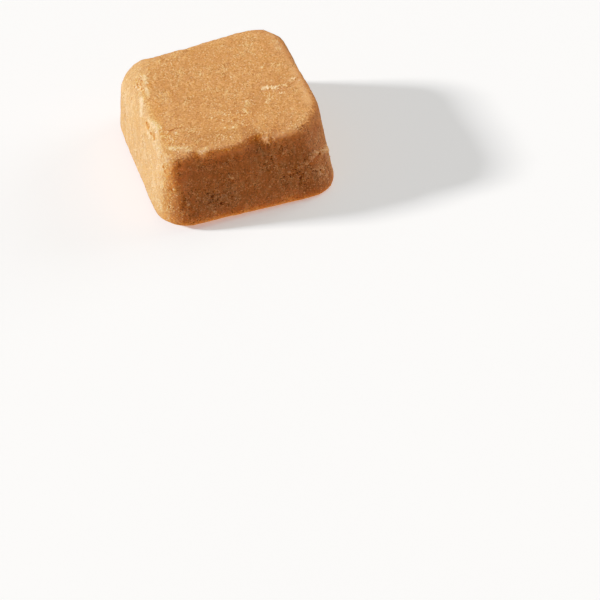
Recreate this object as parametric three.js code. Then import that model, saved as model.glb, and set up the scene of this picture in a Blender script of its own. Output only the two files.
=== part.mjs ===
// A bite-size block of butter fudge, cut from a slab and handled a little: a squat frustum with
// soft corners, faces that are not quite flat, and a worn, crumbly rim round its top face.
//
// Millimetres, +Z up. The block rests on its broad face at z = 0, with the origin at the centre of
// its footprint. -Y is the front face and -X the left one.

import * as THREE from "three";
import { mergeVertices } from "three/addons/utils/BufferGeometryUtils.js";

const { lerp, smoothstep } = THREE.MathUtils;

// Driving dimensions

const HEIGHT = 11.6;

// The block's upright edges. At the base and at the top face, "at" is where the edge would end if
// it were sharp, "round" is its radius in plan, and "rim" is the radius of the rim beside it.
const CORNERS = [
  {
    side: [-1, -1],
    base: { at: [-12.5, -12.7], round: 4.1, rim: 2.0 },
    top: { at: [-10.8, -11.0], round: 1.6, rim: 0.9 },
  },
  {
    side: [1, -1],
    base: { at: [12.5, -12.4], round: 4.0, rim: 0.9 },
    top: { at: [10.9, -10.7], round: 5.8, rim: 0.9 },
  },
  {
    side: [1, 1],
    base: { at: [12.6, 12.3], round: 3.6, rim: 1.2 },
    top: { at: [11.1, 10.8], round: 4.8, rim: 1.5 },
  },
  {
    side: [-1, 1],
    base: { at: [-12.4, 12.8], round: 5.8, rim: 2.1 },
    top: { at: [-11.4, 10.9], round: 4.5, rim: 3.5 },
  },
];

const HALF_WIDTH = 12.5; // about half the block, which turns radii in plan into shares of it
const FACE_STEPS = 36; // mesh steps across the base and the top face
const SIDE_STEPS = 18; // mesh steps up each side face
const RIM_CROWDING = 0.8; // 0 spaces the steps evenly, 1 crowds them most towards the rims

// Long, shallow waves that leave no face quite flat.
const WAVES = [
  { length: 21, height: 0.05 },
  { length: 15, height: 0.045 },
  { length: 11, height: 0.035 },
  { length: 8, height: 0.03 },
  { length: 6, height: 0.02 },
];

// Crumbling of the rims and upright edges, finer than the waves.
const CRAGS = [
  { grain: 2.0, height: 0.12 },
  { grain: 1.0, height: 0.1 },
];
const FACE_CRAG_SHARE = 0.2; // how much of that roughness also shows in mid-face
const EDGE_BAND = 0.72; // share of the way from mid-face to an edge at which the crumbling starts

// Places where the block is worn, chipped or lumpy. Each moves the surface by "push" at its centre,
// and by less and less out to its reach along X, Y and Z.
const WEAR = [
  // Rim between the left face and the top
  { at: [-9.1, 4.0, 11.6], reach: [0.9, 1.9, 0.9], push: [0, 0, 0.17] }, // bumpy ridge
  { at: [-9.9, 4.7, 11.2], reach: [1.0, 1.8, 1.1], push: [0.12, 0, -0.14] }, // hollow outside it
  { at: [-9.9, 1.0, 11.4], reach: [1.7, 2.2, 1.3], push: [0.08, 0, -0.24] }, // worn-down stretch
  { at: [-10.3, -2.4, 11.4], reach: [1.1, 2.4, 0.9], push: [-0.14, 0, 0.22] }, // slanting ridge
  { at: [-10.8, -2.9, 10.9], reach: [0.7, 0.9, 0.8], push: [0.36, 0, -0.15] }, // upper pit
  { at: [-10.8, -5.6, 11.1], reach: [0.7, 1.0, 0.8], push: [0.32, 0, -0.16] }, // lower pit
  // Rim between the front face and the top
  { at: [-8.1, -9.9, 11.6], reach: [2.3, 1.0, 0.9], push: [0, -0.1, 0.2] }, // lip at the left
  { at: [-6.8, -10.7, 11.4], reach: [0.7, 0.9, 0.9], push: [0, 0.36, -0.2] }, // nick beside it
  { at: [-5.5, -10.4, 11.6], reach: [1.3, 0.8, 0.8], push: [0, -0.05, 0.14] }, // second lip
  { at: [1.2, -10.7, 11.2], reach: [1.9, 2.0, 2.8], push: [0, 0.5, -0.1] }, // scallop in mid-rim
  { at: [2.0, -10.6, 11.4], reach: [0.7, 1.0, 0.9], push: [0, 0.35, -0.1] }, // notch at its end
  { at: [2.7, -10.9, 10.8], reach: [0.8, 0.9, 0.8], push: [0, -0.36, 0.05] }, // crumb below it
  { at: [4.9, -10.5, 11.5], reach: [3.0, 1.7, 1.4], push: [0, 0, -0.36] }, // rounded-off stretch
  // Front face and its right corner
  { at: [-5.6, -11.9, 5.2], reach: [3.6, 1.3, 2.6], push: [0, 0.13, 0] }, // pitted patch
  { at: [2.9, -11.3, 8.2], reach: [0.6, 1.0, 1.3], push: [0, 0.14, 0] }, // slanting crease
  { at: [10.2, -10.2, 8.7], reach: [2.8, 2.4, 1.9], push: [-0.16, 0.22, 0] }, // hollow over the ledge
  { at: [9.7, -10.8, 6.3], reach: [2.8, 2.1, 1.0], push: [0.16, -0.26, 0] }, // crumbly ledge
  { at: [5.0, -12.3, 0.9], reach: [0.8, 0.9, 0.7], push: [0, 0.26, 0.05] }, // nick in the base rim
  // Top face
  { at: [7.7, -2.2, 11.6], reach: [3.0, 0.8, 0.8], push: [0, 0, 0.09] }, // faint ridge
  { at: [1.8, -6.9, 11.6], reach: [1.7, 1.3, 1.0], push: [0, 0, -0.12] }, // shallow dish
  // Right and back faces
  { at: [11.9, 4.2, 4.8], reach: [1.4, 3.2, 2.6], push: [-0.22, 0, 0] }, // shallow dent
  { at: [-3.2, 11.9, 5.4], reach: [3.6, 1.4, 2.4], push: [0, -0.2, 0] }, // scuffed hollow
];

const FLAT_FOOT = 0.9; // below this height the relief fades out, so that the base stays flat
const SEED = 22;

const HASH_PRIMES = [374761393, 668265263, 2147483647, 1274126177];
const HASH_SHIFTS = [13, 16];
const HASH_HALF_RANGE = 2 ** 31;

// A repeatable random value from -1 to 1 for each point of a whole-number lattice.
function latticeValue(x, y, z) {
  const [primeX, primeY, primeZ, primeMix] = HASH_PRIMES;
  const [firstShift, lastShift] = HASH_SHIFTS;
  const mixedAxes = Math.imul(x, primeX) ^ Math.imul(y, primeY) ^ Math.imul(z, primeZ) ^ SEED;
  const hash = Math.imul(mixedAxes ^ (mixedAxes >>> firstShift), primeMix);
  return ((hash ^ (hash >>> lastShift)) >>> 0) / HASH_HALF_RANGE - 1;
}

// Smooth noise from -1 to 1 whose bumps are about one grain across.
function latticeNoise(point, grain) {
  const cell = point.clone().divideScalar(grain);
  const low = cell.clone().floor();
  const share = cell.sub(low).toArray().map((t) => smoothstep(t, 0, 1));
  let total = 0;
  for (let corner = 0; corner < 8; corner++) {
    const step = [corner & 1, (corner >> 1) & 1, corner >> 2];
    const weight = step.reduce((w, s, axis) => w * (s ? share[axis] : 1 - share[axis]), 1);
    total += weight * latticeValue(low.x + step[0], low.y + step[1], low.z + step[2]);
  }
  return total;
}

// Spaces mesh lines from -1 to 1 so that they crowd towards both ends.
function crowd(t) {
  const quarter = (Math.PI / 2) * RIM_CROWDING;
  return Math.sin(t * quarter) / Math.sin(quarter);
}

// Levels a run from -1 to 1 off at both ends, so that radii blended with it meet without a crease.
function eased(t) {
  return (3 * t - t ** 3) / 2;
}

// How much each corner of the block counts at plan position (x, y), which runs from -1 to 1.
function cornerShares(x, y) {
  return CORNERS.map(({ side }) => ((1 + side[0] * x) / 2) * ((1 + side[1] * y) / 2));
}

function mixed(shares, value) {
  return shares.reduce((sum, share, i) => sum + share * value(CORNERS[i]), 0);
}

// Pulls a point of the unit square's outline onto an arc wherever it is nearer than the radii a, b
// to one of the square's corners.
function roundCorner(x, y, a, b) {
  const alongX = (Math.abs(x) - (1 - a)) / a;
  const alongY = (Math.abs(y) - (1 - b)) / b;
  if (alongX <= 0 || alongY <= 0) return [x, y];
  const pull = Math.max(alongX, alongY) / Math.hypot(alongX, alongY);
  return [Math.sign(x) * (1 - a + a * alongX * pull), Math.sign(y) * (1 - b + b * alongY * pull)];
}

// Carries a point of the cube from -1 to 1 onto the block before any wear.
function blockPoint(u, v, w) {
  const ring = Math.max(Math.abs(u), Math.abs(v));
  const direction = ring > 0 ? [u / ring, v / ring] : [0, 0];
  const shares = cornerShares(...direction.map(eased));

  const up = (w + 1) / 2;
  const round = mixed(shares, ({ base, top }) => lerp(base.round, top.round, up)) / HALF_WIDTH;
  const [planX, planY] = roundCorner(...direction, round, round);

  const rim = mixed(shares, ({ base, top }) => (w > 0 ? top.rim : base.rim));
  const [outward, level] = roundCorner(ring, w, rim / HALF_WIDTH, rim / (HEIGHT / 2));

  const raised = (level + 1) / 2;
  const places = cornerShares(planX * outward, planY * outward);
  const [x, y] = [0, 1].map((axis) => {
    return mixed(places, ({ base, top }) => lerp(base.at[axis], top.at[axis], raised));
  });
  return new THREE.Vector3(x, y, raised * HEIGHT);
}

// From 0 in mid-face to 1 on a rim or an upright edge of the cube from -1 to 1.
function edgeShare(u, v, w) {
  const [, second] = [u, v, w].map(Math.abs).sort((a, b) => b - a);
  return smoothstep(second, EDGE_BAND, 1);
}

function waviness(point) {
  return WAVES.reduce((sum, { length, height }, i) => {
    const direction = new THREE.Vector3(...[0, 1, 2].map((axis) => latticeValue(i, axis, 0)));
    const waves = direction.normalize().dot(point) / length;
    const phase = latticeValue(i, 0, 1);
    return sum + height * Math.sin(2 * Math.PI * (waves + phase));
  }, 0);
}

function crags(point, edge) {
  const share = lerp(FACE_CRAG_SHARE, 1, edge);
  return CRAGS.reduce((sum, { grain, height }) => sum + height * share * latticeNoise(point, grain), 0);
}

// How far and which way the worn places together move a point of the surface.
function wear(point) {
  const moved = new THREE.Vector3();
  for (const { at, reach, push } of WEAR) {
    const away = point.clone().sub(new THREE.Vector3(...at)).divide(new THREE.Vector3(...reach));
    const fade = Math.max(0, 1 - away.lengthSq()) ** 2;
    moved.addScaledVector(new THREE.Vector3(...push), fade);
  }
  return moved;
}

// How far the finished surface lies from the plain block at one of its points.
function relief(point, normal, edge) {
  const foot = smoothstep(point.z, 0, FLAT_FOOT);
  return wear(point)
    .addScaledVector(normal, waviness(point) + crags(point, edge))
    .multiplyScalar(foot);
}

// Splits each square of the cube's grid along the diagonal that points to its nearest corner, which
// keeps the triangles well shaped where the corners are rounded off.
function splitTowardsCorners(cube) {
  const index = cube.getIndex();
  const position = cube.getAttribute("position");
  const reach = (i) => {
    const spot = new THREE.Vector3().fromBufferAttribute(position, i);
    return spot.manhattanLength();
  };
  for (let first = 0; first < index.count; first += 6) {
    const [a, b, d, , c] = index.array.slice(first, first + 6);
    const splitPointsAway = Math.max(reach(a), reach(c)) > Math.max(reach(b), reach(d));
    if (splitPointsAway) index.array.set([a, b, c, a, c, d], first);
  }
}

// Moves the block so that the box round it is centred on the origin in plan.
function centredOnFootprint(geometry) {
  geometry.computeBoundingBox();
  const middle = geometry.boundingBox.getCenter(new THREE.Vector3());
  return geometry.translate(-middle.x, -middle.y, 0);
}

function fudgeGeometry() {
  const cube = new THREE.BoxGeometry(2, 2, 2, FACE_STEPS, FACE_STEPS, SIDE_STEPS);
  splitTowardsCorners(cube);
  cube.deleteAttribute("normal");
  cube.deleteAttribute("uv");
  const geometry = mergeVertices(cube);
  const position = geometry.getAttribute("position");
  const point = new THREE.Vector3();
  const normal = new THREE.Vector3();

  const edges = [];
  for (let i = 0; i < position.count; i++) {
    const spot = point.fromBufferAttribute(position, i).toArray().map(crowd);
    edges.push(edgeShare(...spot));
    position.setXYZ(i, ...blockPoint(...spot));
  }

  geometry.computeVertexNormals();
  for (let i = 0; i < position.count; i++) {
    point.fromBufferAttribute(position, i);
    normal.fromBufferAttribute(geometry.getAttribute("normal"), i);
    position.setXYZ(i, ...point.add(relief(point, normal, edges[i])));
  }

  geometry.computeVertexNormals();
  return centredOnFootprint(geometry);
}

const butterFudge = new THREE.MeshStandardMaterial({
  color: 0xd49b61,
  roughness: 0.7,
  metalness: 0,
});

const fudge = new THREE.Mesh(fudgeGeometry(), butterFudge);
fudge.name = "fudge";

const block = new THREE.Group();
block.add(fudge);

export default block;
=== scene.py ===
"""Looks of a bite-size block of butter fudge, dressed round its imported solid.

The block's own piece is a fine skin grown from the solid, with grain, pits and a crumbly rim worked
into its mesh. A second piece holds the sugar crumbs that sit in its surface. Lengths in the constants
are millimetres.
"""

import math
from collections import namedtuple

import bmesh
import bpy
import numpy as np
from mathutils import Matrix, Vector, noise


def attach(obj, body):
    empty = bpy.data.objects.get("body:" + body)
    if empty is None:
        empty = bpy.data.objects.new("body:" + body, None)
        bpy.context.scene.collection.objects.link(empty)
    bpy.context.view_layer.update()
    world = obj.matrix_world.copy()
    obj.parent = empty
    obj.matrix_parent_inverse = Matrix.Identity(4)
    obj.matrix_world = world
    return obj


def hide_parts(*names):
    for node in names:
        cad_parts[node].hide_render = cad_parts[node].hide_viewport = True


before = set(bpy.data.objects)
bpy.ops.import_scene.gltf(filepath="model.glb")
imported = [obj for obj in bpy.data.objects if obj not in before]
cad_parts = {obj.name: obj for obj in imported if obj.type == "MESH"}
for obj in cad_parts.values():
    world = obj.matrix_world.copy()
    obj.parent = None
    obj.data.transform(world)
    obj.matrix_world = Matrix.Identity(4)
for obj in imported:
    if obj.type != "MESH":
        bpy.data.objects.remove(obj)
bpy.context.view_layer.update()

MM = 0.001
SEED = 7

# The camera, solved from the outline of the block.
CAMERA_AT = (-46.657, -157.619, 155.018)
CAMERA_ELEVATION = 48.406
CAMERA_AZIMUTH = -20.019
LENS = 100.0
SENSOR = 36.0
CLIP_START = 10.0

# The lights: the direction each comes from, its strength, its width in degrees and its colour.
LIGHTS = {
    "key": ((-0.83, 0.25, 0.385), 4.95, 7.0, (1, 0.975, 0.95)),
    "top": ((0.12, 0.10, 0.98), 0.33, 40.0, (1, 0.85, 0.5)),
    "side": ((0.92, 0.12, 0.38), 0.92, 35.0, (1, 1, 1)),
    "low": ((0.05, -0.20, -0.98), 1.7, 40.0, (1, 0.5, 0.12)),
}
WORLD_LIGHT = 0.19
WORLD_COLOUR = (0.94, 1.0, 1.12, 1)
FLOOR_SIZE = 3000.0
FLOOR_GLOW = 0.15
FLOOR_SHADES = ((0.91, 0.91, 0.91, 1), (0.93, 0.93, 0.93, 1))
FLOOR_MOTTLE = 60.0

# The tone curve of the view, as pairs of scene light and shown light.
TONE = (
    (0.0, 0.0),
    (0.023, 0.0085),
    (0.034, 0.0194),
    (0.075, 0.070),
    (0.167, 0.212),
    (0.239, 0.328),
    (0.450, 0.584),
    (0.532, 0.658),
    (1.0, 0.916),
)
# Which of the view's curves works on red, green and blue together.
COMBINED_CURVE = 3

# The skin: how close corners are welded, how often it is divided, and a length that counts as none.
WELD = 0.002
SKIN_LEVELS = 2
TINY = 1e-9
# The relief fades in over this height above the flat foot.
FOOT = 0.35

# The skin's relief everywhere: (grain size, height).
GRAIN = ((1.3, 0.035), (0.7, 0.028), (0.4, 0.022))
# More grain on the upper rim: the slopes of about this tilt, from RIM_FROM up.
RIM_GRAIN = ((0.9, 0.06), (0.5, 0.05))
RIM_FROM = 8.5
RIM_RISE = 1.5
RIM_TILT = 0.55
RIM_TILT_SPREAD = 0.4
# Where the skin goes from side to top, by how far it faces up.
TOP_TILT = (0.3, 0.9)

# Each noise has seeds of its own, so that no two are alike.
NOISE_SHIFT = (31.7, 12.9, 57.3)
GRAIN_SEED = 1
RIM_SEED = 11
BLOOM_SEED = 40
CRACK_SEED = 50

# A worn place: the line it follows, how far it spreads from it, how many crumbs and pits it holds,
# the size of both, how much pale bloom and painted highlight shows on it, and how porous it is.
Worn = namedtuple("Worn", "line reach crumbs pits size bloom pores")
WORN = (
    # The left rim, from the back corner to the front. Its bloom is partly a painted highlight.
    Worn(((-9.4, 7.6, 11.2), (-9.5, 5.6, 11.4)), 0.8, 12, 0, 0.09, 0.2, 0.1),
    Worn(((-9.6, 5.9, 11.2), (-9.8, 4.6, 11.2), (-9.8, 3.6, 11.3)), 0.55, 24, 12, 0.11, 0.0, 1.5),
    Worn(((-8.7, 5.8, 11.6), (-9.0, 4.2, 11.7)), 0.22, 14, 0, 0.09, 1.0, 0.0),
    Worn(((-9.2, 3.1, 11.7), (-9.5, 1.9, 11.5)), 0.3, 10, 0, 0.09, 0.7, 0.0),
    Worn(((-10.3, 1.9, 11.2), (-10.8, 0.5, 10.8), (-11.1, -0.4, 10.6)), 0.3, 12, 0, 0.08, 0.9, 0.0),
    Worn(((-10.5, -2.8, 11.4), (-10.1, -4.0, 11.7), (-9.9, -4.7, 11.6)), 0.5, 34, 2, 0.10, 1.0, 0.2),
    Worn(((-11.2, -3.5, 10.6), (-11.1, -4.4, 10.7)), 0.35, 12, 0, 0.09, 0.9, 0.0),
    Worn(((-10.9, -6.2, 10.9), (-10.9, -7.6, 10.9)), 0.7, 14, 0, 0.10, 0.4, 0.1),
    Worn(((-11.0, -8.4, 10.2), (-11.1, -10.0, 9.3)), 0.8, 14, 5, 0.11, 0.1, 0.3),
    # The front rim's lips and notches. The first lip's bloom is partly a painted highlight.
    Worn(((-9.4, -8.7, 11.6), (-8.3, -9.0, 11.6), (-7.7, -9.6, 11.5)), 0.42, 50, 0, 0.10, 1.7, 0.1),
    Worn(((-6.4, -10.2, 11.4), (-5.3, -10.1, 11.5)), 0.35, 14, 0, 0.10, 0.5, 0.0),
    Worn(((-4.4, -10.5, 11.3), (-0.4, -10.5, 11.3)), 0.4, 8, 1, 0.07, 0.0, 0.1),
    Worn(((0.4, -10.4, 11.1), (1.8, -10.4, 11.0), (2.8, -11.0, 10.7)), 0.5, 18, 3, 0.09, 0.0, 0.2),
    Worn(((3.6, -10.6, 11.4), (9.6, -8.8, 11.4)), 0.4, 16, 4, 0.07, 0.0, 0.2),
    # The left face.
    Worn(((-11.8, 5.0, 8.2), (-11.9, 4.7, 6.6)), 0.25, 8, 0, 0.08, 0.6, 0.0),
    Worn(((-12.0, 3.4, 6.1), (-12.0, 2.5, 5.2)), 0.3, 8, 0, 0.08, 0.6, 0.0),
    Worn(((-11.5, -5.2, 8.2), (-11.8, -7.0, 5.7), (-12.0, -9.9, 3.0)), 0.7, 50, 4, 0.09, 0.3, 0.1),
    Worn(((-11.3, -7.6, 9.2), (-11.7, -8.8, 6.6)), 0.5, 34, 5, 0.10, 0.3, 0.1),
    # The front face: the pitted patch, the crease and the crumbly ledge.
    Worn(((-6.0, -11.9, 4.2), (-3.4, -12.0, 3.6)), 1.4, 170, 22, 0.08, 0.3, 0.55),
    Worn(((-5.5, -11.8, 5.6), (-2.7, -11.7, 5.4)), 0.9, 30, 10, 0.08, 0.1, 0.4),
    Worn(((2.9, -11.2, 8.4), (3.4, -11.6, 6.3)), 0.5, 20, 10, 0.11, 0.2, 0.5),
    Worn(((8.0, -11.3, 6.5), (8.6, -11.1, 6.9), (9.3, -10.9, 6.8)), 0.3, 60, 3, 0.14, 0.7, 0.3),
    Worn(((9.9, -10.6, 6.3), (10.8, -9.8, 5.7), (11.4, -8.8, 4.9)), 0.38, 100, 6, 0.16, 0.9, 0.3),
    Worn(((6.2, -11.6, 5.6), (6.9, -11.5, 6.0), (7.8, -11.4, 6.2)), 0.3, 24, 8, 0.12, 0.4, 0.8),
    Worn(((9.9, -11.1, 3.8), (9.5, -11.4, 3.4)), 0.2, 16, 2, 0.13, 1.2, 0.3),
    Worn(((9.0, -11.4, 4.3), (10.6, -11.0, 2.4)), 0.6, 40, 6, 0.10, 0.4, 0.2),
    Worn(((4.6, -11.8, 4.8), (9.0, -11.6, 4.0)), 1.2, 130, 26, 0.09, 0.2, 0.7),
    Worn(((2.6, -12.1, 1.6), (9.0, -11.8, 1.8)), 0.9, 40, 12, 0.10, 0.1, 0.3),
    # The top face.
    Worn(((5.0, -2.0, 11.7), (5.9, -2.1, 11.7), (6.5, -2.45, 11.7)), 0.22, 80, 0, 0.11, 2.2, 0.0),
    Worn(((6.8, -2.5, 11.7), (8.1, -2.4, 11.7)), 0.13, 22, 0, 0.10, 0.5, 0.0),
    Worn(((8.7, -1.8, 11.7), (9.6, -1.7, 11.7)), 0.22, 22, 0, 0.11, 0.5, 0.0),
    Worn(((6.7, -3.6, 11.7), (7.3, -3.75, 11.7)), 0.12, 14, 0, 0.09, 1.0, 0.0),
    Worn(((5.1, -4.2, 11.6), (4.5, -4.7, 11.6)), 0.13, 12, 0, 0.10, 0.8, 0.0),
    Worn(((5.4, -3.2, 11.6), (5.8, -4.0, 11.6)), 0.3, 10, 12, 0.09, 0.0, 0.6),
    Worn(((2.2, -3.5, 11.6), (1.8, -4.3, 11.6)), 0.2, 14, 2, 0.09, 0.7, 0.0),
    Worn(((1.3, -4.8, 11.6), (1.6, -5.6, 11.6)), 0.15, 14, 2, 0.10, 0.9, 0.0),
    Worn(((-1.9, -4.5, 11.6), (-1.3, -4.7, 11.6)), 0.3, 12, 0, 0.09, 0.6, 0.0),
    Worn(((9.4, 5.0, 11.7), (9.8, 4.8, 11.7)), 0.25, 12, 0, 0.09, 0.6, 0.0),
    Worn(((-0.6, -6.2, 11.6), (1.6, -7.8, 11.6)), 1.3, 50, 30, 0.09, 0.0, 0.3),
    Worn(((-3.5, -8.7, 11.6), (-1.3, -9.3, 11.6)), 0.6, 20, 4, 0.11, 0.1, 0.2),
    Worn(((-9.6, -5.8, 11.6), (-9.2, -7.2, 11.6)), 0.55, 22, 16, 0.10, 0.2, 0.9),
    Worn(((-8.8, -5.5, 11.6), (-7.2, -5.2, 11.6)), 0.3, 14, 3, 0.09, 0.3, 0.3),
    Worn(((-6.5, 7.4, 11.6), (-4.5, 6.6, 11.6)), 1.2, 26, 12, 0.09, 0.0, 0.4),
    Worn(((-8.2, 2.0, 11.6), (-7.6, 0.6, 11.7)), 0.6, 12, 4, 0.08, 0.2, 0.2),
    # The back and the right, which the photograph doesn't show.
    Worn(((-6.0, 11.6, 6.5), (-1.0, 11.8, 5.0)), 1.6, 60, 44, 0.11, 0.1, 0.6),
    Worn(((3.0, 11.2, 9.8), (8.0, 10.8, 10.4)), 0.6, 30, 8, 0.10, 0.5, 0.2),
    Worn(((11.6, 3.0, 6.0), (11.8, -3.0, 4.5)), 1.5, 60, 44, 0.11, 0.1, 0.6),
    # The whole front face is a little porous.
    Worn(((-9.0, -11.8, 4.5), (9.0, -11.4, 5.0)), 3.5, 0, 0, 0.1, 0.0, 0.3),
)
# Single pits: (the line they follow, radius). Each is sunk and darkened with painted shade.
PITS = (
    # The cluster in the left rim, and two long pores below it.
    (((-9.7, 5.55, 11.2), (-9.7, 5.45, 11.2)), 0.14),
    (((-9.6, 4.75, 11.3), (-9.6, 4.6, 11.3)), 0.15),
    (((-9.95, 5.3, 11.0), (-9.95, 5.2, 11.0)), 0.13),
    (((-9.7, 3.8, 11.35), (-9.75, 3.65, 11.35)), 0.15),
    (((-9.9, 4.5, 11.1), (-9.9, 4.4, 11.1)), 0.12),
    (((-10.3, 4.4, 10.85), (-10.3, 4.3, 10.85)), 0.12),
    (((-9.5, 5.85, 11.3), (-9.5, 5.75, 11.3)), 0.12),
    (((-9.6, 3.05, 11.5), (-9.65, 2.95, 11.5)), 0.12),
    (((-10.3, 5.05, 10.8), (-10.3, 4.95, 10.8)), 0.11),
    (((-9.3, 5.25, 11.4), (-9.3, 5.15, 11.4)), 0.12),
    (((-11.1, 4.0, 10.0), (-11.15, 3.8, 9.9)), 0.15),
    (((-11.35, 3.75, 9.7), (-11.4, 3.6, 9.6)), 0.11),
    # The two long pits in the rim's middle, with a round one between.
    (((-10.9, -2.3, 10.8), (-10.9, -3.1, 10.65)), 0.22),
    (((-10.7, -4.9, 11.0), (-10.85, -5.4, 10.75)), 0.17),
    (((-11.0, -4.3, 10.9), (-11.0, -4.5, 10.9)), 0.11),
    # The front left edge.
    (((-11.0, -10.3, 9.5), (-11.0, -10.4, 9.4)), 0.20),
    (((-10.5, -11.1, 7.0), (-10.5, -11.15, 6.9)), 0.16),
    # The left face.
    (((-12.1, 1.1, 4.6), (-12.1, 1.0, 4.5)), 0.10),
    (((-12.2, -3.6, 3.1), (-12.2, -3.7, 3.0)), 0.10),
    # The pitted patch and the right half of the front face.
    (((-4.4, -12.0, 3.3), (-4.2, -12.0, 3.2)), 0.22),
    (((-5.5, -11.8, 4.6), (-5.4, -11.8, 4.7)), 0.18),
    (((-3.5, -12.1, 2.8), (-3.4, -12.1, 2.8)), 0.16),
    (((-6.3, -11.7, 5.9), (-6.2, -11.7, 5.9)), 0.14),
    (((6.5, -11.8, 4.0), (6.6, -11.8, 4.1)), 0.20),
    (((6.4, -11.9, 3.2), (6.3, -11.9, 3.1)), 0.17),
    (((5.1, -11.7, 4.9), (5.2, -11.7, 4.8)), 0.15),
    (((8.9, -11.5, 4.0), (9.0, -11.5, 4.1)), 0.17),
    # Between the ledge's crumbs.
    (((7.2, -11.4, 6.6), (7.3, -11.4, 6.6)), 0.13),
    (((7.7, -11.5, 5.6), (7.8, -11.5, 5.6)), 0.13),
    (((9.4, -10.8, 6.5), (9.5, -10.8, 6.5)), 0.13),
    (((8.5, -11.2, 6.75), (8.55, -11.2, 6.75)), 0.12),
)
# Low swellings, or hollows where the height is less than nothing: (line, reach, height).
SWELLS = (
    (((-10.1, 2.2, 11.3), (-10.2, 0.6, 11.2), (-10.1, -1.4, 11.2)), 0.5, 0.20),
    (((-8.7, 5.8, 11.6), (-9.0, 4.2, 11.7), (-9.2, 2.9, 11.7)), 0.25, 0.04),
    (((-10.5, -2.8, 11.4), (-10.1, -4.0, 11.7), (-9.9, -4.9, 11.6)), 0.4, 0.10),
    (((-11.1, -3.6, 10.6), (-11.1, -4.4, 10.7)), 0.3, 0.08),
    (((-9.2, -8.8, 11.6), (-8.9, -8.9, 11.6)), 0.35, 0.18),
    (((-8.3, -9.2, 11.6), (-7.9, -9.5, 11.6)), 0.3, 0.16),
    (((-6.1, -10.5, 11.4), (-5.5, -10.5, 11.4)), 0.3, 0.14),
    (((-5.3, -10.55, 11.4), (-3.0, -10.65, 11.35), (-0.6, -10.55, 11.2)), 0.4, 0.13),
    (((3.6, -10.6, 11.2), (8.6, -9.3, 11.2)), 0.4, 0.05),
    (((5.0, -2.0, 11.7), (5.9, -2.1, 11.7), (6.5, -2.45, 11.7)), 0.16, 0.10),
    (((6.8, -2.5, 11.7), (8.1, -2.4, 11.7)), 0.14, 0.05),
    (((8.7, -1.8, 11.7), (9.6, -1.7, 11.7)), 0.16, 0.06),
    (((-11.8, 5.2, 8.6), (-11.9, 4.7, 6.6)), 0.3, 0.05),
    (((8.0, -11.3, 6.5), (8.6, -11.1, 6.9), (9.3, -10.9, 6.8)), 0.22, 0.14),
    (((9.9, -10.6, 6.3), (10.8, -9.8, 5.7), (11.4, -8.8, 4.9)), 0.28, 0.18),
    (((0.9, -10.1, 11.3), (1.9, -10.15, 11.3)), 0.42, -0.22),
    (((0.5, -10.6, 10.9), (1.6, -10.7, 10.8), (2.9, -10.9, 10.8)), 0.55, -0.32),
)
# Thin cracks at the edge of flakes, darkened with painted shade.
CRACKS = (
    ((-9.3, -5.2, 11.6), (-9.0, -5.4, 11.6), (-8.3, -5.4, 11.6), (-7.5, -5.4, 11.6), (-7.0, -5.3, 11.6)),
    ((-10.9, -2.2, 10.85), (-10.7, -2.5, 10.95), (-10.7, -3.1, 10.9)),
    ((-11.1, -4.2, 10.9), (-10.85, -4.3, 11.0), (-10.9, -4.6, 10.9)),
    ((2.7, -11.0, 9.0), (2.9, -11.3, 8.0), (3.2, -11.6, 6.6)),
)
# Where the fudge is a deeper orange: (line, reach).
DEEP_ORANGE_PLACES = (
    # Down the front left edge: a painted orange glow of light shining through the lit edge.
    (((-10.9, -10.9, 9.6), (-11.5, -11.4, 2.0)), 1.3),
    (((-8.8, 1.4, 11.7), (-9.0, -1.4, 11.7)), 0.5),
    (((-9.2, -6.0, 11.6), (-9.4, -8.0, 11.5)), 0.5),
)
# Where the fudge is paler, or darker where the amount is less than nothing: (line, reach, amount).
TINTS = (
    # The rims and edges, paler as a painted highlight along their lit edges.
    (
        ((9.6, 8.8, 11.2), (10.6, 3.0, 11.4), (10.4, 0.5, 11.5), (9.9, -3.6, 11.6), (9.7, -6.0, 11.6)),
        0.7,
        0.7,
    ),
    (((3.8, -10.5, 11.0), (5.8, -10.6, 10.9), (7.5, -10.2, 10.9)), 0.5, 0.6),
    (((-6.0, -10.9, 10.9), (-1.0, -10.9, 10.7)), 0.45, 0.6),
    (((-8.9, -10.9, 10.8), (-8.8, -11.2, 8.9), (-8.8, -11.6, 6.5)), 0.7, 0.35),
    (((11.9, -9.0, 4.5), (11.7, -9.6, 1.5)), 0.7, 0.35),
    # The front and the right of the top face.
    (((-5.6, -8.3, 11.5), (-2.5, -8.4, 11.6), (-0.5, -8.8, 11.6), (0.8, -9.0, 11.6)), 1.4, -0.5),
    (((2.4, -5.0, 11.6), (4.8, -2.9, 11.7), (7.5, -1.0, 11.7)), 1.5, -0.28),
    # The front face's lower corners.
    (((-11.0, -10.9, 5.5), (-10.8, -11.4, 3.3)), 1.2, -0.5),
    (((7.5, -12.1, 1.8), (10.5, -11.4, 1.8)), 1.2, -0.4),
)
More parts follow.
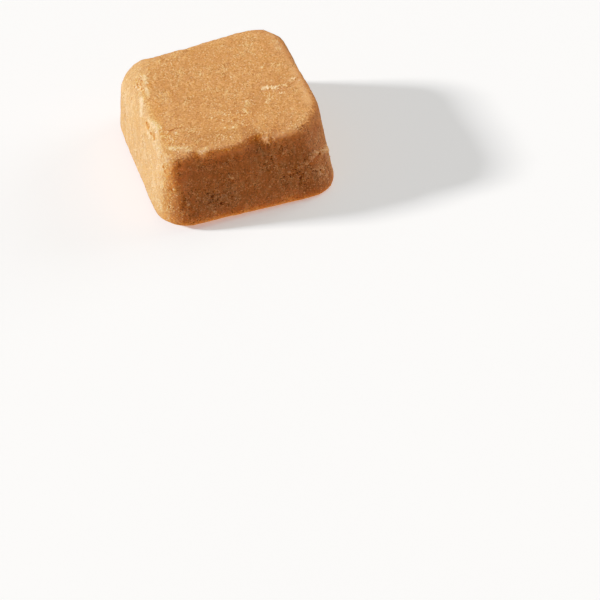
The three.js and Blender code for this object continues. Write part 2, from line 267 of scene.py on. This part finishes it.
# Single pale grains that stand out of the skin: (place, size).
MOUNDS = (
    ((-2.6, -11.5, 6.8), 0.25),
    ((-3.0, -11.5, 7.1), 0.17),
    ((-8.7, -11.9, 4.5), 0.26),
    ((-5.4, -12.3, 2.4), 0.20),
    ((4.4, -11.2, 8.5), 0.20),
    ((5.0, -11.6, 5.4), 0.26),
    ((2.3, -11.9, 3.9), 0.19),
    ((2.1, -11.3, 8.0), 0.19),
    ((-10.2, -11.2, 7.1), 0.22),
    ((10.7, -9.7, 6.0), 0.34),
    ((10.9, -9.65, 5.4), 0.34),
    ((9.7, -10.6, 6.7), 0.24),
    ((8.8, -11.0, 7.1), 0.28),
    ((8.4, -11.15, 7.15), 0.20),
    ((8.2, -11.3, 6.6), 0.26),
    ((7.5, -11.5, 6.0), 0.28),
    ((6.9, -11.5, 6.3), 0.18),
    ((6.8, -11.6, 5.8), 0.18),
    ((6.3, -11.6, 5.8), 0.19),
    ((7.3, -11.7, 4.6), 0.20),
    ((9.9, -11.1, 3.8), 0.24),
    ((-3.9, -11.2, 8.9), 0.16),
    ((-1.0, -7.7, 11.6), 0.20),
    ((-2.0, -7.4, 11.6), 0.16),
    ((-3.0, -5.1, 11.6), 0.17),
    ((6.2, 2.0, 11.6), 0.20),
    ((-8.1, -6.1, 11.5), 0.19),
    ((-8.9, -7.2, 11.6), 0.17),
    ((3.0, 11.9, 6.0), 0.23),
    ((11.9, 5.0, 4.0), 0.23),
)
MOUND_HEIGHT = 0.15

# Pits: their depth and the spread of their painted shade, in pit radii, and how dark a random one's
# painted shade is. A single one's darkness is 1.
PIT_DEPTH = 0.9
PIT_SPREAD = 2.0
FAINT_PIT = 0.52
# A random pit's radius, as a range of shares of its worn place's size.
PIT_GROWTH = (0.9, 1.9)
# The bowl of a pit is cut short near its edge: by how much, and where and how wide in pit radii.
PIT_EDGE_CUT = 0.22
PIT_EDGE_AT = 1.25
PIT_EDGE_WIDTH = 0.3

# Cracks: how wide their shade is, and how far and in what grain size they wander.
CRACK_SPREAD = 0.3
CRACK_WANDER = 0.12
CRACK_GRAIN = 0.4
# Bloom is broken up by noise, (grain size, height), about a mean share and up to the most.
BLOOM_GRAIN = ((0.6, 0.9), (0.3, 0.7))
BLOOM_SHARE = 0.7
BLOOM_MOST = 1.3

# Crumbs that lie outside the worn places.
LOOSE_CRUMBS = 620
LOOSE_SIZE = 0.075
# How a crumb is made: flat cuts, how far they are from its middle in radii, and how it is stretched.
CRUMB_CUTS = 5
CUT_RANGE = (0.55, 0.85)
STRETCH_RANGE = (0.65, 1.25)
# How much larger than its place's size it is: the log-normal mean and spread, and the most.
CRUMB_SPREAD = (-0.28, 0.42)
CRUMB_LIMIT = 1.8
# How deep its middle is below the skin, in radii, and how far it is moved aside.
CRUMB_SUNK = 0.35
CRUMB_ASIDE = 0.06
# The least paleness of a crumb where the bloom is full.
LEAST_PALE = 0.8
CRUMB_ROUGHNESS = 0.35
CRUMB_MOTTLE = 0.12
CRUMB_GRAIN = 0.08
CRUMB_BUMP = 0.01

# Light that the fudge sends back, in red, green and blue.
CARAMEL = (0.735, 0.303, 0.121, 1)
CARAMEL_DARK = (0.365, 0.155, 0.055, 1)
CARAMEL_PALE = (0.93, 0.405, 0.185, 1)
# A deeper orange, which down the front left edge is a painted glow.
DEEP_ORANGE = (0.74, 0.275, 0.090, 1)
# The dark of pores and cracks is painted shade in their hollows.
PORE = (0.25, 0.075, 0.022, 1)
# The dark of pits is painted shade in their hollows.
PIT = (0.36, 0.120, 0.036, 1)
# Pale sugar bloom, also a painted highlight on lit rims and flake edges.
BLOOM_AND_HIGHLIGHT = (0.98, 0.58, 0.30, 1)
GRAIN_PALE = (0.98, 0.60, 0.33, 1)
SUGAR = (0.98, 0.57, 0.31, 1)
# How far light spreads under the surface, in red, green and blue.
SCATTER = (2.8, 2.1, 0.8)
SHINE = 0.35

# The material's noises: (size of the features, detail, roughness).
BLOTCHES = (5.0, 2.0, 0.5)
PATCHES = (2.4, 2.0, 0.5)
MOTTLE = (0.9, 3.0, 0.6)
FLAKES = (0.8, 2.0, 0.5)
DRAG_MARKS = (0.6, 2.0, 0.5)
RIM_FLECKS = (0.34, 2.0, 0.6)
FINE_GRAIN = (0.24, 3.0, 0.75)
# The sides' marks are drawn out upwards.
DRAG = (1, 1, 0.22)
# Crystals and pores: how far apart they can be, and how much more common where the skin is porous.
CRYSTALS = (0.3, 0.40)
PORES = (0.36, 0.34)
# The painted shade and painted light along the edges of flakes lie where the flakes' noise is within
# the half width of these values. Within the core, a share of the half width, an edge is full.
PAINTED_SHADE_EDGE = 0.465
PAINTED_LIT_EDGE = 0.52
FLAKE_EDGE_HALF = 0.03
FLAKE_EDGE_CORE = 0.4
# How each mark fades in: (value where it starts, value where it ends, its share at the two).
FADES = {
    "blotches": (0.3, 0.7, 0.0, 0.30),
    "deep_orange": (0.0, 1.0, 0.0, 0.9),
    "side": (0.0, 1.0, 1.0, 0.0),
    "pale drag": (0.52, 0.70, 0.0, 0.4),
    "dark drag": (0.46, 0.30, 0.0, 0.3),
    # The grain is stronger on the top, partly as painted light and shade of its relief.
    "grain": (0.0, 1.0, 0.75, 1.15),
    "dark mottle": (0.38, 0.66, 0.45, 0.0),
    "dark grain": (0.36, 0.60, 0.75, 0.0),
    "pale grain": (0.50, 0.72, 0.0, 0.70),
    "patches": (0.48, 0.62, 0.0, 1.0),
    "painted shade edge": (0.62, 0.46, 0.1, 1.0),
    "painted lit edge": (0.40, 0.60, 0.1, 0.65),
    "rim flecks": (0.42, 0.60, 0.40, 0.0),
    "crystal": (0.42, 0.22, 0.0, 1.0),
    "crystal chance": (0.56, 0.76, 0.0, 1.0),
    "crystal share": (0.0, 0.6, 0.6, 0.9),
    "bloom": (0.30, 0.62, 0.35, 0.95),
    "mound": (0.25, 0.7, 0.0, 0.85),
    "pore": (0.44, 0.24, 0.0, 1.0),
    "pore chance": (0.80, 0.92, 0.0, 1.0),
    "pore share": (0.6, 1.0, 0.4, 0.95),
    "pit": (0.35, 0.58, 0.0, 0.85),
    "crack": (0.50, 0.80, 0.0, 0.7),
    "roughness": (0.3, 0.7, 0.48, 0.62),
    "crumb mottle": (0.3, 0.7, -0.15, 0.15),
    "crumb pale": (0.25, 1.0, 0.0, 1.0),
}
# What the fine bumps are made of besides the grain, and their depth where the height goes from 0 to 1.
BUMP_SHARES = {"mottle": 0.8, "pore": -1.2, "crack": -1.2, "crystal": 0.6}
BUMP_DEPTH = 0.17

# The sockets of a Mix node that mix colours.
MIX_SHARE = 0
MIX_FIRST = 6
MIX_SECOND = 7
MIX_RESULT = 2


def vertices_of(mesh, name):
    """A mesh's vertex coordinates or normals as rows of three."""
    values = np.empty(len(mesh.vertices) * 3, np.float32)
    mesh.vertices.foreach_get(name, values)
    return values.reshape(-1, 3).astype(float)


def add_object(name, data):
    """A new object of that mesh, light or camera, in the scene."""
    made = bpy.data.objects.new(name, data)
    bpy.context.scene.collection.objects.link(made)
    return made


def add_attribute(mesh, name, values):
    """A number for every vertex, for the material to read."""
    mesh.attributes.new(name, "FLOAT", "POINT").data.foreach_set("value", values.astype(np.float32))


def smooth_step(low, high, value):
    """0 below low, 1 above high, and smooth between."""
    share = np.clip((value - low) / (high - low), 0, 1)
    return share * share * (3 - 2 * share)


def noise_at(points, grain, seed):
    """Seeded smooth noise, about -1 to 1, with features of that grain size."""
    shift = Vector(NOISE_SHIFT) * (SEED + seed)
    return np.array([noise.noise(Vector(p) / grain + shift) for p in points])


def grained(points, layers, seed):
    """The sum of layers of noise, each (grain size, height)."""
    return sum(height * noise_at(points, grain, seed + k) for k, (grain, height) in enumerate(layers))


def line_distance(points, line):
    """Each point's distance from a line of straight stretches."""
    best = np.full(len(points), np.inf)
    for a, b in zip(np.array(line[:-1]), np.array(line[1:])):
        along = b - a
        share = np.clip((points - a) @ along / max(along @ along, TINY), 0, 1)
        best = np.minimum(best, np.linalg.norm(points - a - share[:, None] * along, axis=1))
    return best


def nearness(points, line, reach):
    """1 on a line, falling to almost 0 at twice the reach."""
    return np.exp(-((line_distance(points, line) / reach) ** 2))


def along_lines(points, entries):
    """The sum of (line, reach, amount) entries, each with its amount on its line."""
    return sum(amount * nearness(points, line, reach) for line, reach, amount in entries)


def fine_skin():
    """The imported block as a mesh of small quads."""
    grid = bmesh.new()
    grid.from_mesh(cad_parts["fudge"].data)
    bmesh.ops.remove_doubles(grid, verts=grid.verts, dist=WELD * MM)
    bmesh.ops.join_triangles(
        grid, faces=grid.faces, angle_face_threshold=math.pi, angle_shape_threshold=math.pi
    )
    coarse = bpy.data.meshes.new("coarse")
    grid.to_mesh(coarse)
    grid.free()
    held = add_object("held", coarse)
    modifier = held.modifiers.new("finer", "SUBSURF")
    modifier.levels = modifier.render_levels = SKIN_LEVELS
    modifier.boundary_smooth = "ALL"
    shown = held.evaluated_get(bpy.context.evaluated_depsgraph_get())
    skin = bpy.data.meshes.new_from_object(shown)
    bpy.data.objects.remove(held)
    bpy.data.meshes.remove(coarse)
    return skin


class Surface:
    """The skin's points and normals in millimetres, and what lies where on it."""

    def __init__(self, mesh):
        self.mesh = mesh
        self.points = vertices_of(mesh, "co") / MM
        self.normals = vertices_of(mesh, "normal")
        self.area = self.vertex_area()
        self.above_foot = smooth_step(0, FOOT, self.points[:, 2])
        facing = np.clip(1 - np.abs(self.normals[:, 2] - RIM_TILT) / RIM_TILT_SPREAD, 0, 1)
        self.rim = facing * smooth_step(RIM_FROM, RIM_FROM + RIM_RISE, self.points[:, 2])
        self.near = [nearness(self.points, worn.line, worn.reach) for worn in WORN]

    def vertex_area(self):
        """The area of the faces round each vertex."""
        area = np.zeros(len(self.mesh.vertices))
        for face in self.mesh.polygons:
            for v in face.vertices:
                area[v] += face.area
        return area

    def spots(self, count, weight, rng):
        """That many vertices, drawn by weight and area."""
        chance = weight * self.area
        return rng.choice(len(chance), count, p=chance / chance.sum())

    def push(self, amounts):
        """Moves the points along the normals, less near the flat foot."""
        self.points = self.points + self.normals * (amounts * self.above_foot)[:, None]

    def write(self):
        """Puts the points into the mesh."""
        self.mesh.vertices.foreach_set("co", (self.points * MM).astype(np.float32).ravel())
        self.mesh.update()


def pit_profile(share):
    """How deep a pit is, by distance in pit radii. Less than nothing is no pit."""
    bowl = (1 - np.minimum(share, 1) ** 2) ** 2
    return bowl - PIT_EDGE_CUT * np.exp(-(((share - PIT_EDGE_AT) / PIT_EDGE_WIDTH) ** 2))


def pit_stamps(surface, rng):
    """Every pit as (line, radius, painted shade's darkness): random ones in worn places, then single
    ones.
    """
    stamps = []
    for worn, near in zip(WORN, surface.near):
        for spot in surface.spots(worn.pits, near * surface.above_foot, rng):
            place = surface.points[spot]
            stamps.append(((place, place), worn.size * rng.uniform(*PIT_GROWTH), FAINT_PIT))
    return stamps + [(np.array(line), radius, 1.0) for line, radius in PITS]


def pit_skin(surface, rng):
    """Sinks the pits into the skin. Gives how dark the pits' painted shade is at each point."""
    depth = np.zeros(len(surface.points))
    near_pit = np.zeros(len(surface.points))
    for line, radius, darkness in pit_stamps(surface, rng):
        middle = (line[0] + line[-1]) / 2
        reach = np.abs(line[0] - line[-1]).max() + radius * PIT_SPREAD
        close = np.flatnonzero(np.abs(surface.points - middle).max(1) < reach)
        away = line_distance(surface.points[close], line) / radius
        depth[close] = np.maximum(depth[close], radius * PIT_DEPTH * pit_profile(away))
        near_pit[close] = np.maximum(near_pit[close], darkness * np.clip(1 - away / PIT_SPREAD, 0, 1))
    surface.push(-depth)
    return near_pit


def near_mound(surface):
    """1 on the top of a single pale grain, falling to 0 off it."""
    away = [np.linalg.norm(surface.points - place, axis=1) / size for place, size in MOUNDS]
    return np.exp(-(np.min(away, axis=0) ** 2))


def near_crack(surface):
    """1 on a crack, falling to 0 a little way off it. The cracks wander."""
    wander = CRACK_WANDER * noise_at(surface.points, CRACK_GRAIN, CRACK_SEED)
    points = surface.points + wander[:, None] * np.array((1, 1, 0))
    away = np.min([line_distance(points, line) for line in CRACKS], axis=0)
    return 1 - np.clip(away / CRACK_SPREAD, 0, 1)


def bloom_and_highlight_of(surface):
    """How much pale sugar bloom shows at each point, 0 to 1; on lit rims partly painted highlight."""
    broken = BLOOM_SHARE + grained(surface.points, BLOOM_GRAIN, BLOOM_SEED)
    amount = sum(worn.bloom * near for worn, near in zip(WORN, surface.near))
    return np.clip(amount * np.clip(broken, 0, BLOOM_MOST), 0, 1)


def pitted_of(surface):
    """How porous the skin is at each point, 0 to 1."""
    return np.clip(sum(worn.pores * near for worn, near in zip(WORN, surface.near)), 0, 1)


def deep_orange_of(surface):
    """How deep an orange the fudge is at each point, 0 to 1; down the front left edge a painted glow."""
    return np.max([nearness(surface.points, line, reach) for line, reach in DEEP_ORANGE_PLACES], axis=0)


def shape_skin(surface, rng):
    """Works the relief into the skin. Gives the marks that go with it, by name."""
    relief = grained(surface.points, GRAIN, GRAIN_SEED)
    relief += surface.rim * grained(surface.points, RIM_GRAIN, RIM_SEED)
    mound = near_mound(surface)
    surface.push(relief + MOUND_HEIGHT * mound)
    surface.push(along_lines(surface.points, SWELLS))
    crack = near_crack(surface)
    pit = pit_skin(surface, rng)
    surface.write()
    return {"mound": mound, "crack": crack, "pit": pit}


def colour_marks(surface):
    """The other marks that the material reads, by name. The tint is less than 0 where darker."""
    return {
        "bloom": bloom_and_highlight_of(surface),
        "deep_orange": deep_orange_of(surface),
        "tint": along_lines(surface.points, TINTS),
        "rim": surface.rim,
        "top": smooth_step(*TOP_TILT, surface.normals[:, 2]),
        "pitted": pitted_of(surface),
    }


def body_piece(rng):
    """The block's own piece, and its surface for the crumbs to sit on."""
    mesh = fine_skin()
    mesh.name = "fudge_body"
    surface = Surface(mesh)
    marks = shape_skin(surface, rng) | colour_marks(surface)
    for name, values in marks.items():
        add_attribute(mesh, name, values)
    mesh.polygons.foreach_set("use_smooth", np.ones(len(mesh.polygons), bool))
    surface.normals = vertices_of(mesh, "normal")
    return add_object("fudge_body", mesh), surface


def crumb_shape():
    """The corners and faces of a round crumb, one millimetre in radius."""
    ball = bmesh.new()
    bmesh.ops.create_icosphere(ball, subdivisions=2, radius=1)
    ball.verts.index_update()
    corners = np.array([v.co for v in ball.verts])
    faces = np.array([[v.index for v in f.verts] for f in ball.faces])
    ball.free()
    return corners, faces


def crumbled(corners, rng):
    """A crumb of its own: chipped flat here and there, squashed, and turned at random."""
    made = corners.copy()
    for _ in range(CRUMB_CUTS):
        cut = rng.normal(size=3)
        cut /= np.linalg.norm(cut)
        over = made @ cut - rng.uniform(*CUT_RANGE)
        made -= np.maximum(over, 0)[:, None] * cut
    made *= rng.uniform(*STRETCH_RANGE, 3)
    turn = np.linalg.qr(rng.normal(size=(3, 3)))[0]
    return made @ turn


def crumb_places(surface, rng):
    """Where each crumb sits, as (vertex, size, least paleness)."""
    places = [(s, LOOSE_SIZE, 0.0) for s in surface.spots(LOOSE_CRUMBS, surface.above_foot, rng)]
    for worn, near in zip(WORN, surface.near):
        spots = surface.spots(worn.crumbs, near * surface.above_foot, rng)
        places += [(s, worn.size, min(worn.bloom, 1.0) * LEAST_PALE) for s in spots]
    return places


def crumb_piece(surface, rng):
    """Sugar crumbs, more than half sunk in the skin and crowded in the worn places."""
    corners, faces = crumb_shape()
    points, rings, pale = [], [], []
    for k, (spot, size, least) in enumerate(crumb_places(surface, rng)):
        normal = surface.normals[spot]
        radius = size * min(rng.lognormal(*CRUMB_SPREAD), CRUMB_LIMIT)
        aside = np.cross(normal, rng.normal(size=3)) * CRUMB_ASIDE
        centre = surface.points[spot] + aside - normal * radius * CRUMB_SUNK
        points.append(crumbled(corners, rng) * radius + centre)
        rings.append(faces + k * len(corners))
        pale.append(np.full(len(corners), rng.uniform(least, 1)))
    mesh = bpy.data.meshes.new("sugar_crumbs")
    mesh.from_pydata(np.concatenate(points) * MM, [], np.concatenate(rings).tolist())
    mesh.update()
    add_attribute(mesh, "pale", np.concatenate(pale))
    return add_object("sugar_crumbs", mesh)


class Material:
    """A node material, built by short calls. Sockets are given by name or number."""

    def __init__(self, name):
        self.material = bpy.data.materials.new(name)
        self.material.use_nodes = True
        self.tree = self.material.node_tree
        self.shader = self.tree.nodes["Principled BSDF"]
        self.place = self.add("TexCoord").outputs["Object"]

    def set(self, node, values):
        """Links a node's sockets to other nodes' outputs, or gives them constants."""
        for name, value in values.items():
            if isinstance(value, bpy.types.NodeSocket):
                self.tree.links.new(value, node.inputs[name])
            else:
                node.inputs[name].default_value = value

    def add(self, kind, values=None, **settings):
        """A new node with those settings and socket values."""
        made = self.tree.nodes.new("ShaderNode" + kind)
        for name, value in settings.items():
            setattr(made, name, value)
        self.set(made, values or {})
        return made

    def math(self, operation, *values):
        """A sum, product or the like of values and outputs."""
        return self.add("Math", dict(enumerate(values)), operation=operation).outputs[0]

    def times(self, first, second):
        """The product of two values or outputs."""
        return self.math("MULTIPLY", first, second)

    def noise(self, grain, detail=2.0, roughness=0.5, place=None):
        """Noise about 0.5, with features of that grain size in millimetres."""
        values = {
            "Vector": place or self.place,
            "Scale": 1 / (grain * MM),
            "Detail": detail,
            "Roughness": roughness,
        }
        return self.add("TexNoise", values).outputs["Fac"]

    def cells(self, size):
        """The distance to the nearest of points about that far apart, and that point's own colour."""
        made = self.add("TexVoronoi", {"Vector": self.place, "Scale": 1 / (size * MM)})
        return made.outputs["Distance"], made.outputs["Color"]

    def ramp(self, value, low, high, start, end):
        """Goes smoothly from start to end as the value goes from low to high."""
        values = {"Value": value, "From Min": low, "From Max": high, "To Min": start, "To Max": end}
        return self.add("MapRange", values, interpolation_type="SMOOTHSTEP").outputs[0]

    def fade(self, mark, value):
        """How much a mark of FADES shows where the value is that."""
        return self.ramp(value, *FADES[mark])

    def mix(self, share, first, second):
        """The first colour, with that share of the second."""
        values = {MIX_SHARE: share, MIX_FIRST: first, MIX_SECOND: second}
        return self.add("Mix", values, data_type="RGBA").outputs[MIX_RESULT]

    def attribute(self, name):
        """The number that the mesh holds by that name."""
        return self.add("Attribute", attribute_name=name).outputs["Fac"]

    def bump(self, height, depth):
        """Bumps of that depth in millimetres where the height goes from 0 to 1."""
        values = {"Height": height, "Distance": depth * MM, "Strength": 1.0}
        return self.add("Bump", values).outputs["Normal"]


class Fudge(Material):
    """The block's material. Its colour is laid mark over mark."""

    def __init__(self):
        super().__init__("fudge_body")
        self.colour = CARAMEL
        self.mottle = self.noise(*MOTTLE)
        self.grain = self.noise(*FINE_GRAIN)
        self.top = self.attribute("top")
        self.pitted = self.attribute("pitted")

    def lay(self, share, colour):
        """Mixes that share of another colour into what is laid so far."""
        self.colour = self.mix(share, self.colour, colour)

    def lay_blotches(self):
        """Broad pale blotches, and a deeper orange, down the front left edge a painted glow."""
        self.lay(self.fade("blotches", self.noise(*BLOTCHES)), CARAMEL_PALE)
        self.lay(self.fade("deep_orange", self.attribute("deep_orange")), DEEP_ORANGE)

    def lay_drag_marks(self):
        """Pale and dark marks on the sides, drawn out upwards."""
        upright = self.add("VectorMath", {0: self.place, 1: DRAG}, operation="MULTIPLY")
        drag = self.noise(*DRAG_MARKS, upright.outputs["Vector"])
        side = self.fade("side", self.top)
        self.lay(self.times(self.fade("pale drag", drag), side), BLOOM_AND_HIGHLIGHT)
        self.lay(self.times(self.fade("dark drag", drag), side), CARAMEL_DARK)

    def lay_grain(self):
        """Fine dark and pale grain, stronger on the top: partly painted light and shade of its relief.
        """
        strength = self.fade("grain", self.top)
        mottle = self.fade("dark mottle", self.mottle)
        dark = self.math("MAXIMUM", mottle, self.fade("dark grain", self.grain))
        self.lay(self.times(dark, strength), CARAMEL_DARK)
        self.lay(self.times(self.fade("pale grain", self.grain), strength), CARAMEL_PALE)

    def lay_tints(self):
        """The places that are paler, as painted highlight on lit edges, and those that are darker."""
        tint = self.attribute("tint")
        self.lay(self.math("MAXIMUM", tint, 0.0), CARAMEL_PALE)
        self.lay(self.math("MAXIMUM", self.times(tint, -1.0), 0.0), CARAMEL_DARK)

    def flake_edge(self, flakes, middle):
        """1 where the flakes' noise is near the middle, falling to 0 at the half width."""
        away = self.math("ABSOLUTE", self.math("SUBTRACT", flakes, middle))
        return self.ramp(away, FLAKE_EDGE_HALF, FLAKE_EDGE_HALF * FLAKE_EDGE_CORE, 0.0, 1.0)

    def lay_flakes(self):
        """Edges of flakes in patches, painted shade and painted light, and dark flecks on the waxy rim.
        """
        flakes = self.noise(*FLAKES)
        patches = self.fade("patches", self.noise(*PATCHES))
        painted_shade_edge = self.times(self.flake_edge(flakes, PAINTED_SHADE_EDGE), patches)
        self.lay(self.times(painted_shade_edge, self.fade("painted shade edge", self.mottle)), CARAMEL_DARK)
        painted_lit_edge = self.times(self.flake_edge(flakes, PAINTED_LIT_EDGE), patches)
        self.lay(self.times(painted_lit_edge, self.fade("painted lit edge", self.grain)), BLOOM_AND_HIGHLIGHT)
        flecks = self.fade("rim flecks", self.noise(*RIM_FLECKS))
        self.lay(self.times(self.attribute("rim"), flecks), CARAMEL_DARK)

    def spots(self, kind, spacing, crowding):
        """1 in the round spots of one kind, which are more common where the skin is porous."""
        away, own = self.cells(spacing)
        chance = self.math("ADD", own, self.times(self.pitted, crowding))
        return self.times(self.fade(kind, away), self.fade(kind + " chance", chance))

    def lay_sugar(self):
        """Crystals, bloom with painted highlight, the single pale grains. Gives where the crystals are.
        """
        crystal = self.spots("crystal", *CRYSTALS)
        self.lay(self.times(crystal, self.fade("crystal share", self.pitted)), SUGAR)
        self.lay(self.times(self.attribute("bloom"), self.fade("bloom", self.grain)), BLOOM_AND_HIGHLIGHT)
        self.lay(self.fade("mound", self.attribute("mound")), GRAIN_PALE)
        return crystal

    def lay_holes(self):
        """Pores, pits and cracks, darkened with painted shade. Gives where the pores and the cracks are.
        """
        pore = self.spots("pore", *PORES)
        crack = self.fade("crack", self.attribute("crack"))
        self.lay(self.times(pore, self.fade("pore share", self.pitted)), PORE)
        self.lay(self.fade("pit", self.attribute("pit")), PIT)
        self.lay(crack, PORE)
        return pore, crack

    def bumps(self, parts):
        """The fine bumps of the grain and of the parts that BUMP_SHARES names."""
        height = self.grain
        for name, share in BUMP_SHARES.items():
            height = self.math("ADD", height, self.times(parts[name], share))
        return self.bump(height, BUMP_DEPTH)


def body_material():
    """Fudge: a caramel paste of fine sugar grains, with pores, pale crystals and patches of bloom."""
    m = Fudge()
    m.lay_blotches()
    m.lay_drag_marks()
    m.lay_grain()
    m.lay_tints()
    m.lay_flakes()
    crystal = m.lay_sugar()
    pore, crack = m.lay_holes()
    parts = {"mottle": m.mottle, "pore": pore, "crack": crack, "crystal": crystal}
    m.set(
        m.shader,
        {
            "Base Color": m.colour,
            "Roughness": m.fade("roughness", m.mottle),
            "Normal": m.bumps(parts),
            "Subsurface Weight": 1.0,
            "Subsurface Radius": SCATTER,
            "Subsurface Scale": MM,
            "Specular IOR Level": SHINE,
        },
    )
    m.shader.subsurface_method = "BURLEY"
    return m.material


def crumb_material():
    """Sugar crumbs: from the colour of the paste to almost white."""
    m = Material("sugar_crumbs")
    shade = m.math("ADD", m.attribute("pale"), m.fade("crumb mottle", m.noise(CRUMB_MOTTLE)))
    m.set(
        m.shader,
        {
            "Base Color": m.mix(m.fade("crumb pale", shade), CARAMEL, SUGAR),
            "Roughness": CRUMB_ROUGHNESS,
            "Normal": m.bump(m.noise(CRUMB_GRAIN), CRUMB_BUMP),
        },
    )
    return m.material


def floor_material():
    """A matt, almost white table."""
    m = Material("floor")
    m.set(
        m.shader,
        {
            "Base Color": m.mix(m.noise(FLOOR_MOTTLE), *FLOOR_SHADES),
            "Roughness": 0.9,
            "Specular IOR Level": 0.1,
            "Emission Color": (1, 1, 1, 1),
            "Emission Strength": FLOOR_GLOW,
        },
    )
    return m.material


def dress(piece, material):
    """Gives a piece its material, body and slot."""
    piece.data.materials.clear()
    piece.data.materials.append(material)
    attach(piece, "root")


def add_floor():
    """A wide table that takes the block's shadow. It sends the block no light and keeps none from it."""
    half = FLOOR_SIZE * MM / 2
    mesh = bpy.data.meshes.new("floor")
    corners = [(-half, -half, 0), (half, -half, 0), (half, half, 0), (-half, half, 0)]
    mesh.from_pydata(corners, [], [(0, 1, 2, 3)])
    floor = add_object("floor", mesh)
    mesh.materials.append(floor_material())
    floor.visible_diffuse = floor.visible_glossy = floor.visible_shadow = False


def add_light(name, direction, strength, width, colour):
    """A far light, which looks that many degrees wide."""
    light = bpy.data.lights.new(name, "SUN")
    light.energy = strength
    light.angle = math.radians(width)
    light.color = colour
    add_object(name, light).rotation_euler = Vector(direction).to_track_quat("Z", "Y").to_euler()


def add_world():
    """Weak light from all round."""
    world = bpy.data.worlds.new("studio")
    world.use_nodes = True
    world.node_tree.nodes["Background"].inputs["Color"].default_value = WORLD_COLOUR
    world.node_tree.nodes["Background"].inputs["Strength"].default_value = WORLD_LIGHT
    bpy.context.scene.world = world


def add_camera():
    """The camera at the photograph's place."""
    camera = bpy.data.cameras.new("camera")
    camera.lens = LENS
    camera.sensor_width = SENSOR
    camera.clip_start = CLIP_START * MM
    held = add_object("camera", camera)
    held.location = Vector(CAMERA_AT) * MM
    held.rotation_euler = (math.radians(90 - CAMERA_ELEVATION), 0, math.radians(CAMERA_AZIMUTH))
    bpy.context.scene.camera = held


def set_tone():
    """The view's tone curve: deep shadows and soft highlights, as in a photograph."""
    view = bpy.context.scene.view_settings
    view.view_transform = "Standard"
    view.use_curve_mapping = True
    mapping = view.curve_mapping
    mapping.extend = "EXTRAPOLATED"
    mapping.use_clip = False
    curve = mapping.curves[COMBINED_CURVE]
    first, last = curve.points[0], curve.points[-1]
    first.location, last.location = TONE[0], TONE[-1]
    for pair in TONE[1:-1]:
        curve.points.new(*pair)
    for point in curve.points:
        point.handle_type = "AUTO_CLAMPED"
    mapping.update()


random = np.random.default_rng(SEED)
body, skin_surface = body_piece(random)
dress(body, body_material())
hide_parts("fudge")
crumbs = crumb_piece(skin_surface, random)
dress(crumbs, crumb_material())

add_floor()
for light_name, light in LIGHTS.items():
    add_light(light_name, *light)
add_world()
add_camera()
set_tone()
